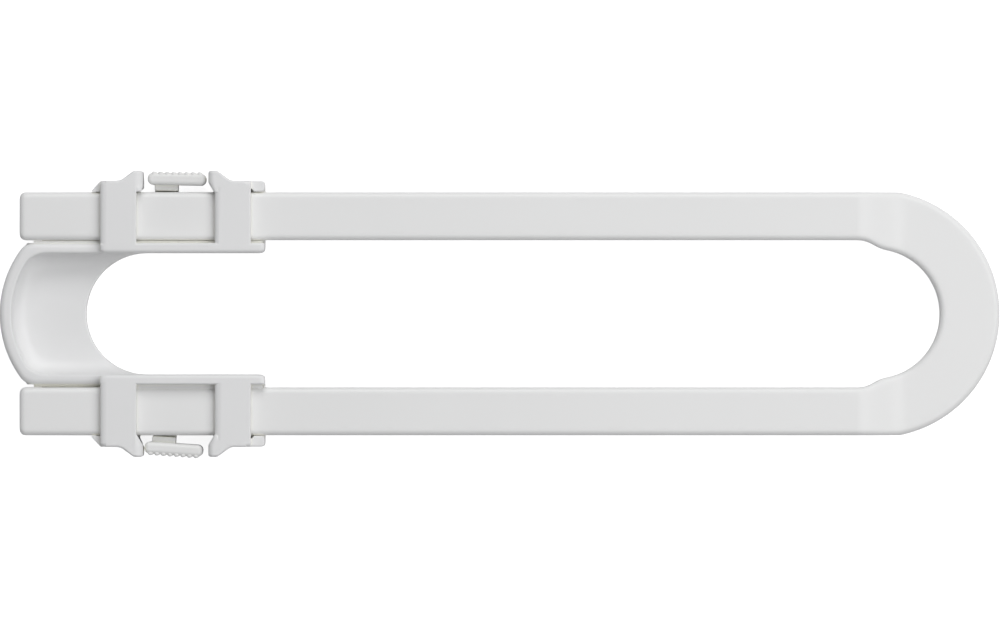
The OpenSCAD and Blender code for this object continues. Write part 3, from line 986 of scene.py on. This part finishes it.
    def raised_rail(self) -> Skin:
        """The rail level with the straps: a rounded section carried along X with rounded ends."""
        at, h, r = self.at, self.at.hair, self.rail_edge_r
        radii = [0, 0, r, self.rail_slot_r]
        low = at.rail_top - self.sunk
        ring = box(at.saddle_r + h, low, at.rail_out - h, at.strap_top, radii)
        weight = 1 - self.tip_fall * outward(ring)[:, 0]
        end = r - 1.5 * h
        runs = (self.strap_edge_run, self.tip_run)
        return self.along(ring, weight, (self.strap_from, at.yoke_end), (end, end), runs)

    def guide_beads(self, side: Side) -> list[Skin]:
        """The low beads along the rail that the leg slides against, which close the slit beside it.

        The deep one stands beside the leg's side. On the lower side it is sunk and ends under the
        first strap, where a shallow one takes over, whose outer face follows the leg's rounded
        edge at the lip's gap.
        """
        at, gap, leg_r = self.at, self.lip_gap, self.at.leg_edge_r
        lower = side is Side.LOWER
        root, outer = at.rail_out - self.bead_root, at.leg_in - gap
        change, last = self.strap_from + self.strap_w / 2, at.yoke_end - self.bead_short
        high = at.leg_front - (self.bead_sunk if lower else self.bead_deep)
        ring = box(root, high - self.bead_h, outer, high, [0, 0.1, 0.15, 0])
        ends = (self.bead_from, change if lower else last)
        skins = [self.along(ring, 1.0, ends, (0.07, 0.07))]
        if lower:
            r, low, high = leg_r + gap, high, at.leg_front - self.bead_shallow
            turn = np.linspace(0, math.asin((leg_r - self.bead_shallow) / r), 9)
            arc = [outer + r * (1 - np.cos(turn)), at.leg_front - leg_r + r * np.sin(turn)]
            ring = np.vstack([[(root, low), (outer, low)], np.stack(arc, 1), [(root, high)]])
            skins.append(self.along(ring, 1.0, (change - self.lip_over, last), (0.03, 0.03)))
        return skins

    def strap_skin(self, start: float) -> Skin:
        """One strap: a staple section carried along X, its front edges rounded.

        The front takes the whole of the round at each end, the underside a fraction of it.
        """
        at, h, r, b = self.at, self.at.hair, self.strap_front_r, self.strap_back_r
        inner, outer, top = at.saddle_r + self.strap_in, at.wall_out - h, at.strap_top - h / 2
        rail, wall = at.rail_out - 2 * h, at.wall_in + h
        low, foot = at.rail_top - self.strap_sunk, at.leg_front - self.sunk
        inside = [(inner, low), (rail, low), (rail, at.strap_z), (wall, at.strap_z)]
        corners = [*inside, (wall, foot), (outer, foot), (outer, top), (inner, top)]
        ring = rounded(corners, [0, 0, b, b, 0, 0, r, r])
        normal = outward(ring)
        side = (np.abs(normal[:, 0]) > 0.5) & (ring[:, 1] > at.strap_z)
        under = np.where(ring[:, 1] > at.strap_z - 0.3, 0.3, 0.0)
        weight = np.where((normal[:, 1] > 0.3) | side, 1.0, under)
        radii, runs = (self.strap_edge_r, self.strap_far_r), (self.strap_edge_run, 0.0)
        return self.along(ring, weight, (start, start + self.strap_w), radii, runs)

    def lips(self) -> list[Skin]:
        """The lead at the yoke's start and the finger at its end, each a lip on a wall's foot."""
        at, h, first, far = self.at, self.at.hair, self.strap_from, self.at.yoke_end
        start = first - self.lead_len
        lip, low, high = at.leg_out + self.lip_gap, at.wall_in + h, at.wall_out - 2 * h
        near = start + self.lead_len / (at.wall_out - lip) * (low - lip) + h
        lead = [(start, lip), (first + 1, lip), (first + 1, high), (first, high)]
        lead_foot = [(near, low), (first + 2, low), (first + 2, high - h), (first + h, high - h)]
        root, notch = self.strap_to - 1, far - self.finger_lip
        inside = [(root, low), (notch - self.finger_slant, low), (notch, lip), (far, lip)]
        finger = rounded([*inside, (far, high), (root, high)], self.finger_radii)
        finger_foot = box(root - 1, low, far - h, high - h, self.finger_foot_radii)
        under, front = at.leg_front - self.lip_t, at.leg_front
        foot_top = under + self.lip_over
        return [
            soft_slab(rounded(lead_foot, self.lead_radii), at.cover_t, foot_top, 0.1),
            soft_slab(rounded(lead, self.lead_radii), under, front, 0.12, 0.1),
            soft_slab(finger_foot, at.cover_t, foot_top, 0.1), soft_slab(finger, under, front, 0.3, 0.1),
        ]

    def ear(self, side: Side, away: int, window: float, strap: float) -> list[Skin]:
        """One ear: a leaf at the straps' level, whose flank rises hollow to its tip, on a wall.

        The upper left ear stands on the leg's edge. The others are cut back to the strap on a
        slant, and their wall stands back from that.

        Args:
            side: The side that it is for.
            away: 1 for an ear that points to +X from the window, -1 for one that points to -X.
            window: The edge of the window that it stands on.
            strap: The far edge of the strap that it belongs to.

        Returns:
            The wall and the leaf.
        """
        at, h = self.at, self.at.hair
        tip, lip = at.wall_out + self.ear_h, at.leg_out + self.lip_gap
        shoulder = window + away * self.ear_tip
        flank = shoulder + away * self.ear_slope
        body = strap - away * self.sunk
        web = window + away * (self.strap_set + self.ear_step)
        on_leg = away < 0 and side is Side.UPPER
        if on_leg:
            a, b, c, d = self.leg_ear
            foot = [(web, lip), (window - a, lip), (window, at.wall_in + b)]
            stand = [(window - c, at.wall_in), (window, at.wall_in + d)]
        else:
            cut, over = at.wall_in + self.ear_cut, at.leg_out - self.ear_web
            foot = [(web, over), (web - away * self.ear_step, over), (window, cut)]
            stand = [(window + away * self.ear_back, at.wall_in), (window, cut + self.ear_under)]
        out, low = at.wall_out, at.wall_in + h
        wall = [(body, at.wall_in), *stand, (window, tip - h), (shoulder - away * h, tip - h)]
        wall += [(flank - away * h, out - h), (body, out - h)]
        leaf = [*foot, (window, tip), (shoulder, tip), (flank, out), (body, out), (body, low)]
        leaf += [(web, low)]
        wall_ring = anticlockwise(rounded(wall, self.wall_radii))
        leaf_ring = distinct(anticlockwise(rounded(leaf, self.leaf_radii, 8)))
        near = np.clip(1 - np.abs(leaf_ring[:, :1] - window) / self.lean_reach, 0, 1)
        near = near * np.clip((leaf_ring[:, 1:] - at.leg_out) / self.lean_rise, 0, 1)
        spread = self.lean_left if away < 0 else self.lean_right
        lean = near * [away * spread, 0, self.lean_down]
        if on_leg:
            lean[leaf_ring[:, 1] < lip + 0.05, 1] = self.lean_lip
        return [
            soft_slab(wall_ring, at.cover_t, at.strap_z + self.sunk, 0.25),
            soft_slab(leaf_ring, at.strap_z, at.strap_top - h, 0.5, 0.2, 8, lean),
        ]

    def build(self, finish: Material) -> Object:
        """Fuses the frame, the walls and the straps, and dresses the yoke."""
        at = self.at
        straps = [self.strap_skin(self.strap_from), self.strap_skin(self.strap_to - self.strap_w)]
        parts = []
        for side in Side:
            left = self.ear(side, -1, at.window_from, self.strap_from)
            right = self.ear(side, 1, at.window_to, self.strap_to)
            rail = [self.raised_rail(), *self.guide_beads(side)]
            for skin in [*self.lips(), *left, *right, *rail, *straps]:
                parts.append((skin.mirrored(side), Join.ADD))
        piece = placed("yoke_shell", fused("yoke_shell", self.frame_skin(), parts))
        return dressed(piece, "slider", "yoke_plastic", finish, "yoke")


@dataclass
class BackCover:
    """The plate behind the yoke, with its runners, locating posts and spring nubs."""

    at: Levels
    wall_start: float = -81.798
    window_slant: float = 1.1
    runner_start: float = -91.798
    runner_w: float = 1.3
    runner_gap: float = 0.1
    runner_top: float = 3.3
    runner_back: float = 1.3
    edge_r: float = 0.3
    post_r: float = 1.5
    post_top: float = 3.0
    post_ring: float = 19.5
    post_angles: tuple[float, ...] = (155.0, 180.0, 205.0)
    nub_w: float = 0.8
    nub_gap: float = 0.05
    pin_hole_r: float = 1.22
    pin_floor: float = 0.3
    drill_top: float = 4.0

    def plate(self) -> Skin:
        """The plate: half its outline is written out as X, Y and radius, the rest mirrors it."""
        at, end, runner, slant = self.at, self.at.yoke_end, self.runner_start, self.window_slant
        corners = np.array(
            [
                (end, at.saddle_r, 1.3), (end, at.wall_out, 0.8), (at.window_to, at.wall_out, 0.5),
                (at.window_to + slant, at.leg_out, 0.4), (at.window_from - slant, at.leg_out, 0.4),
                (at.window_from, at.wall_out, 0.5), (self.wall_start + 2, at.wall_out, 0.6),
                (self.wall_start + 0.6, at.leg_out - 0.2, 0.6),
                (runner, at.rail_out + self.runner_w, 0.6), (runner, at.rail_out, 0.35),
                (runner + 1, at.saddle_r, 0),
            ]
        )
        straight = rounded(corners[:, :2], corners[:, 2])[:-1]
        spread = math.asin(at.rail_out / at.cap_r)
        turn = np.linspace(math.pi - spread, math.pi, 24)
        cap = np.stack([at.cap_x + at.cap_r * np.cos(turn), at.cap_r * np.sin(turn)], 1)
        turn = np.linspace(math.pi / 2, math.pi, 40)
        slot = np.stack([at.saddle_x + at.saddle_r * np.cos(turn), at.saddle_r * np.sin(turn)], 1)
        outer = np.vstack([straight, cap])
        flip = [1, -1]
        loop = np.vstack([outer, outer[::-1][1:] * flip, slot[:-1] * flip, slot[::-1]])
        return soft_slab(distinct(loop), 0.0, at.cover_t, self.edge_r, self.edge_r)

    def runner(self, x0: float, x1: float, y0: float) -> Skin:
        """One runner under a leg."""
        ring = box(x0, y0, x1, y0 + self.runner_w, 0.35)
        return soft_slab(ring, self.at.cover_t / 2, self.runner_top, 0.25)

    def nub(self, x: float, y: float) -> Skin:
        """One of the two nubs that hold a spring's ends."""
        w, at = self.nub_w, self.at
        ring = box(x - w / 2, y - w, x + w / 2, y + w, 0.15)
        return soft_slab(ring, at.cover_t / 2, self.runner_top - at.hair, 0.12, 0.1)

    def build(self, finish: Material) -> Object:
        """Fuses the plate with its runners, posts and nubs, drills the pin holes and dresses it."""
        at, h = self.at, self.at.hair
        parts = []
        for a in np.radians(self.post_angles):
            post = bead(self.post_r, at.cover_t / 2, self.post_top, 0.25)
            shift = (at.saddle_x + self.post_ring * math.cos(a), self.post_ring * math.sin(a), 0)
            parts.append((post.moved(0, shift), Join.ADD))
        inner_y = at.rail_out + self.runner_gap
        outer_y = at.wall_in - self.runner_gap - self.runner_w
        spring_x, end = at.pin_x + at.spring_reach, at.yoke_end - h
        half = at.spring_len / 2 + self.nub_gap + self.nub_w / 2
        for side in Side:
            forms = [
                self.runner(self.runner_start + h, end, inner_y),
                self.runner(self.wall_start + 2, at.window_from - self.runner_back, outer_y),
                self.runner(at.window_to + self.runner_back, end, outer_y),
                self.nub(spring_x - half, inner_y + self.runner_w),
                self.nub(spring_x + half, inner_y + self.runner_w),
            ]
            parts += [(skin.mirrored(side), Join.ADD) for skin in forms]
            hole = bead(self.pin_hole_r, self.pin_floor, self.drill_top, h)
            parts.append((hole.moved(0, (at.pin_x, at.leg_mid, 0)).mirrored(side), Join.CUT))
        piece = placed("back_cover_shell", fused("back_cover_shell", self.plate(), parts))
        return dressed(piece, "slider", "yoke_plastic", finish, "back_cover")


@dataclass
class Lever:
    """A squeeze lever: ribbed thumb pad, stem, hub, arm and pawl, worked out about its pin."""

    at: Levels
    side: Side
    tilt: float
    node: str
    body: str
    edge_r: float = 0.2
    hub_r: float = 3.0
    stem_w: float = 4.7
    stem_back: float = 0.5
    stem_over: float = 1.2
    web_y: float = 5.05
    web_over: float = 1.0
    web_top: float = 6.2
    pad_len: float = 11.65
    pad_back: float = 3.75
    pad_t: float = 2.4
    pad_y: float = 6.25
    pad_corner_r: float = 1.1
    pad_top_r: float = 0.85
    pad_foot_r: float = 0.3
    ribs: int = 8
    rib_pitch: float = 1.3
    rib_r: float = 0.5
    rib_h: float = 0.3
    rib_down: float = 0.1
    rib_dome_r: float = 0.42
    arm_out: float = 2.0
    arm_end: float = 13.3
    pawl_reach: float = 8.3
    pawl_tip: float = 2.85
    pawl_back: float = 1.7
    pawl_top: float = 7.4
    bore_r: float = 1.25
    seat_r: float = 2.1
    seat_z: float = 0.8
    drill_from: float = -1.0
    drill_to: float = 3.0

    def pad(self) -> list[Skin]:
        """The thumb pad, a rounded bar, and the round ribs that stand out along its outer side."""
        x0, x1 = -self.pad_back, self.pad_len - self.pad_back
        y0, y1 = self.pad_y, self.pad_y + self.pad_t
        top = self.at.leg_front - self.at.lever_z
        ring = box(x0, y0, x1, y1, self.pad_corner_r, 10)
        bar = soft_slab(ring, 0.0, top, self.pad_top_r, self.pad_foot_r, 8)
        rib = bead(self.rib_r, self.at.hair, top - self.rib_down, self.rib_dome_r)
        middles = (x0 + x1) / 2 + (np.arange(self.ribs) - (self.ribs - 1) / 2) * self.rib_pitch
        return [bar] + [rib.moved(0, (x, y1 + self.rib_h - self.rib_r, 0)) for x in middles]

    def plate(self) -> list[Skin]:
        """Hub, stem, arm and pawl, and the web that stiffens the stem between leg and pad.

        Their heights differ by a hair, so that no two faces lie in one plane where they fuse.
        """
        at, r, t, h = self.at, self.edge_r, self.at.lever_t, self.at.hair
        w, end, reach = self.stem_w / 2, self.arm_end - self.at.hair, self.pawl_reach
        stem = box(-w, -self.stem_back, w, self.pad_y + self.stem_over, 0.3)
        web = box(-w + h, self.web_y, w - h, self.pad_y + self.web_over, 0.3)
        arm = box(0, -at.arm_in, self.arm_end, self.arm_out, 0.3)
        tip, foot = self.pawl_tip, self.pawl_tip - at.tooth_h
        low, step = foot - self.pawl_back, reach + at.pitch
        teeth = [(reach, low), (end, low), (end, foot), (step, tip), (step, foot), (reach, tip)]
        pawl = soft_slab(rounded(teeth, 0.1), 1.5 * h, self.pawl_top - at.lever_z, 0.08, 0.08)
        return [
            bead(self.hub_r, 0.0, t - h / 2, r), soft_slab(stem, h / 2, t, r),
            soft_slab(web, 1.5 * h, self.web_top, r), soft_slab(arm, h, t - h, r).moved(-at.seat_tilt),
            pawl.moved(-at.seat_tilt),
        ]

    def build(self, finish: Material) -> Object:
        """Fuses the lever's forms, drills its bore and the seat of the pin's head, dresses it."""
        place = (self.at.pin_x, self.at.leg_mid, self.at.lever_z)
        bore = bead(self.bore_r, self.drill_from, self.drill_to, self.at.hair)
        seat = bead(self.seat_r, self.seat_z, self.drill_to, self.at.hair)
        added, cuts = [*self.pad(), *self.plate()], [bore, seat]
        skins = [skin.moved(self.tilt, place).mirrored(self.side) for skin in added + cuts]
        joins = [Join.ADD] * len(added) + [Join.CUT] * len(cuts)
        name = self.node + "_shell"
        piece = placed(name, fused(name, skins[0], list(zip(skins, joins))[1:]))
        return dressed(piece, self.body, "lever_plastic", finish, self.node)


@dataclass
class PivotPin:
    """A headed steel pin: a turned profile with a domed head."""

    at: Levels
    side: Side
    node: str
    shank_r: float = 1.2
    shank_edge: float = 0.2
    head_r: float = 2.0
    head_t: float = 0.8
    head_edge: float = 0.1
    rim_r: float = 0.25
    dome_h: float = 0.12
    foot_z: float = 0.32
    head_z: float = 2.25

    def build(self, finish: Material) -> Object:
        """Turns the pin about its axis and dresses it.

        The head's top falls by dome_h from its middle to its rounded rim, as a square law.
        """
        at, r, head, e, q = self.at, self.shank_r, self.head_r, self.shank_edge, self.head_edge
        z, up, crown = self.foot_z, self.head_z, self.head_z + self.head_t
        dome = np.linspace(1, at.hair, 8) * (head - self.rim_r)
        turn = quarter(6)
        rim = [head - self.rim_r * (1 - np.cos(turn))]
        rim += [crown - self.dome_h - self.rim_r * (1 - np.sin(turn))]
        profile = np.vstack(
            [
                [(at.hair, z), (r - e, z), (r, z + e), (r, up), (head - q, up), (head, up + q)],
                np.stack(rim, 1), np.stack([dome, crown - self.dome_h * (dome / head) ** 2], 1)[1:],
            ]
        )
        skin = turned(profile, 64).moved(0, (at.pin_x, at.leg_mid, 0)).mirrored(self.side)
        name = self.node + "_turned"
        piece = placed(name, raw_mesh(name, skin), 30.0)
        return dressed(piece, "slider", "pin_steel", finish, self.node)


@dataclass
class ReturnSpring:
    """A bowed leaf spring between the inner runner and a lever's arm."""

    at: Levels
    side: Side
    tilt: float
    node: str
    joint: str
    strip_t: float = 0.3
    strip_w: float = 1.4
    edge_r: float = 0.06
    gap: float = 0.05
    foot: float = 15.6
    keep: float = 0.35

    def build(self, finish: Material) -> Object:
        """Carries the strip's section along its bow and dresses it.

        Each half of the bow is a cubic curve with level ends, and the strip's thickness is laid
        off from it towards the lever.
        """
        at, foot = self.at, self.foot
        turn = math.radians(self.tilt - at.seat_tilt)
        arm = at.leg_mid - at.arm_in * math.cos(turn) + at.spring_reach * math.sin(turn)
        crown = arm - self.gap - self.strip_t
        half = at.spring_len / 2
        ends = np.array([(-half, foot), (-half / 3, foot), (-half / 3, crown), (0.0, crown)])
        left = cubic(*ends, np.linspace(0, 1, 22)[:, None])
        line = np.vstack([left, left[::-1][1:] * [-1, 1]])
        upper = line + [0, self.strip_t]
        outline = np.vstack([line, upper[::-1]]) + [at.pin_x + at.spring_reach, 0]
        low = at.lever_z + (at.lever_t - self.strip_w) / 2
        skin = soft_slab(outline, low, low + self.strip_w, self.edge_r, self.edge_r, 2)
        name = self.node + "_strip"
        piece = placed(name, raw_mesh(name, skin.mirrored(self.side)), 30.0)
        dressed(piece, "slider", "spring_steel", finish, self.node)
        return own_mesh(piece)


@dataclass(frozen=True)
class Lamp:
    """A soft rectangular lamp, aimed at a point. Places and sizes are in metres."""

    name: str
    place: Triple
    aim: Triple
    size: tuple[float, float]
    power: float

    def build(self) -> None:
        """Hangs the lamp."""
        data = bpy.data.lights.new(self.name, "AREA")
        data.shape = "RECTANGLE"
        data.size, data.size_y = self.size
        data.energy = self.power
        lamp = bpy.data.objects.new(self.name, data)
        lamp.location = self.place
        lamp.rotation_mode = "QUATERNION"
        beam = Vector(self.aim) - Vector(self.place)
        lamp.rotation_quaternion = beam.to_track_quat("-Z", "Y")
        bpy.context.scene.collection.objects.link(lamp)


@dataclass
class Studio:
    """Camera, floor, world and lamps."""

    frame_width: float = 200.0
    centre_y: float = -0.15
    distance: float = 2.6
    half_height: float = 0.0066
    sensor: float = 36.0
    fill: float = 0.28
    fill_colour: Triple = (0.97, 0.98, 1.0)
    floor_tone: float = 0.8
    floor_glow: float = 0.83
    lamps: tuple[Lamp, ...] = (
        Lamp("key", (0.05, 1.5, 1.35), (0, 0, 0), (1.2, 0.8), 14.0),
        Lamp("over", (0.46, 0.05, 0.8), (0.02, 0, 0), (0.8, 0.7), 4.0),
    )

    def camera(self) -> None:
        """A long lens that looks straight down on the part, framing 200 mm over the long side."""
        data = bpy.data.cameras.new("view")
        data.sensor_width = self.sensor
        data.lens = self.sensor * (self.distance - self.half_height) / (self.frame_width * MM)
        data.clip_end = 50.0
        camera = bpy.data.objects.new("view", data)
        camera.location = (0.0, self.centre_y * MM, self.distance)
        bpy.context.scene.collection.objects.link(camera)
        bpy.context.scene.camera = camera

    def floor(self) -> None:
        """A pale floor that the camera sees as white where no shadow falls."""
        mesh = bpy.data.meshes.new("floor")
        half, low = 3.0, -0.0002
        corners = [(-half, -half, low), (half, -half, low), (half, half, low), (-half, half, low)]
        mesh.from_pydata(corners, [], [(0, 1, 2, 3)])
        floor = bpy.data.objects.new("floor", mesh)
        bpy.context.scene.collection.objects.link(floor)
        made, wiring = blank_material("pale_floor")
        wiring.add("seen", "LightPath")
        wiring.add("paint", "BsdfDiffuse", Color=(*[self.floor_tone] * 3, 1))
        wiring.add("glow", "Emission", Strength=self.floor_glow)
        wiring.add("both", "AddShader")
        wiring.add("pick", "MixShader")
        wiring.add("end", "OutputMaterial")
        wiring.join(
            "paint.0 > both.0; glow.0 > both.1; seen.Is Camera Ray > pick.0; paint.0 > pick.1;"
            "both.0 > pick.2; pick.0 > end.Surface"
        )
        mesh.materials.append(made)

    def world(self) -> None:
        """A white surround for the camera, gloss and glass, and a plain grey light for the rest."""
        world = bpy.data.worlds.new("surround")
        bpy.context.scene.world = world
        world.use_nodes = True
        wiring = Wiring(world.node_tree)
        wiring.add("seen", "LightPath")
        wiring.add("first", "Math").operation = "MAXIMUM"
        wiring.add("second", "Math").operation = "MAXIMUM"
        wiring.add("white", "Background", Strength=1.0)
        wiring.add("grey", "Background", Color=(*self.fill_colour, 1), Strength=self.fill)
        wiring.add("pick", "MixShader")
        wiring.add("end", "OutputWorld")
        wiring.join(
            "seen.Is Camera Ray > first.0; seen.Is Glossy Ray > first.1; first.0 > second.0;"
            "seen.Is Transmission Ray > second.1; second.0 > pick.0; grey.0 > pick.1;"
            "white.0 > pick.2; pick.0 > end.Surface"
        )

    def build(self) -> None:
        """Sets up the whole studio."""
        bpy.context.scene.view_settings.view_transform = "Standard"
        self.camera()
        self.floor()
        self.world()
        for lamp in self.lamps:
            lamp.build()


# The second colour of each plastic is painted light: the lighter, warmer glow painted into its crevices
BAR_WHITE = MouldedPlastic("bar_white", (0.835, 0.835, 0.83), (0.96, 0.95, 0.90))
YOKE_WHITE = MouldedPlastic("yoke_white", (0.81, 0.81, 0.81), (0.96, 0.95, 0.87), 0.42, 0.50)
LEVER_WHITE = MouldedPlastic("lever_white", (0.82, 0.82, 0.81), (0.97, 0.97, 0.86), 0.42, 0.50)
PIN_STEEL = BrushedSteel("pin_steel", (0.60, 0.60, 0.61))
STRIP_STEEL = BrushedSteel("strip_steel", (0.50, 0.50, 0.52))
UPPER_TILT = -1.0
LOWER_TILT = 3.9


def main() -> None:
    """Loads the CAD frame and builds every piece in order."""
    logging.basicConfig(level=logging.INFO, format="%(message)s")
    for thing in list(bpy.data.objects):
        bpy.data.objects.remove(thing)
    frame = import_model()
    log.info("CAD nodes: %d", len(frame["nodes"]))
    groups = GroupMaker()
    bar_white, yoke_white = BAR_WHITE.material(groups), YOKE_WHITE.material(groups)
    lever_white = LEVER_WHITE.material(groups)
    pin_steel, strip_steel = PIN_STEEL.material(), STRIP_STEEL.material()
    at = Levels()
    UBar(at).build(bar_white)
    Yoke(at).build(yoke_white)
    BackCover(at).build(yoke_white)
    for side, tilt, word in ((Side.UPPER, UPPER_TILT, "upper"), (Side.LOWER, LOWER_TILT, "lower")):
        Lever(at, side, tilt, f"{word}_lever", f"{word}_squeeze").build(lever_white)
        PivotPin(at, side, f"{word}_pivot_pin").build(pin_steel)
        spring = ReturnSpring(at, side, tilt, f"{word}_return_spring", f"{word}_lever_rock")
        spring.build(strip_steel)
    Studio().build()


if __name__ == "__main__":
    main()
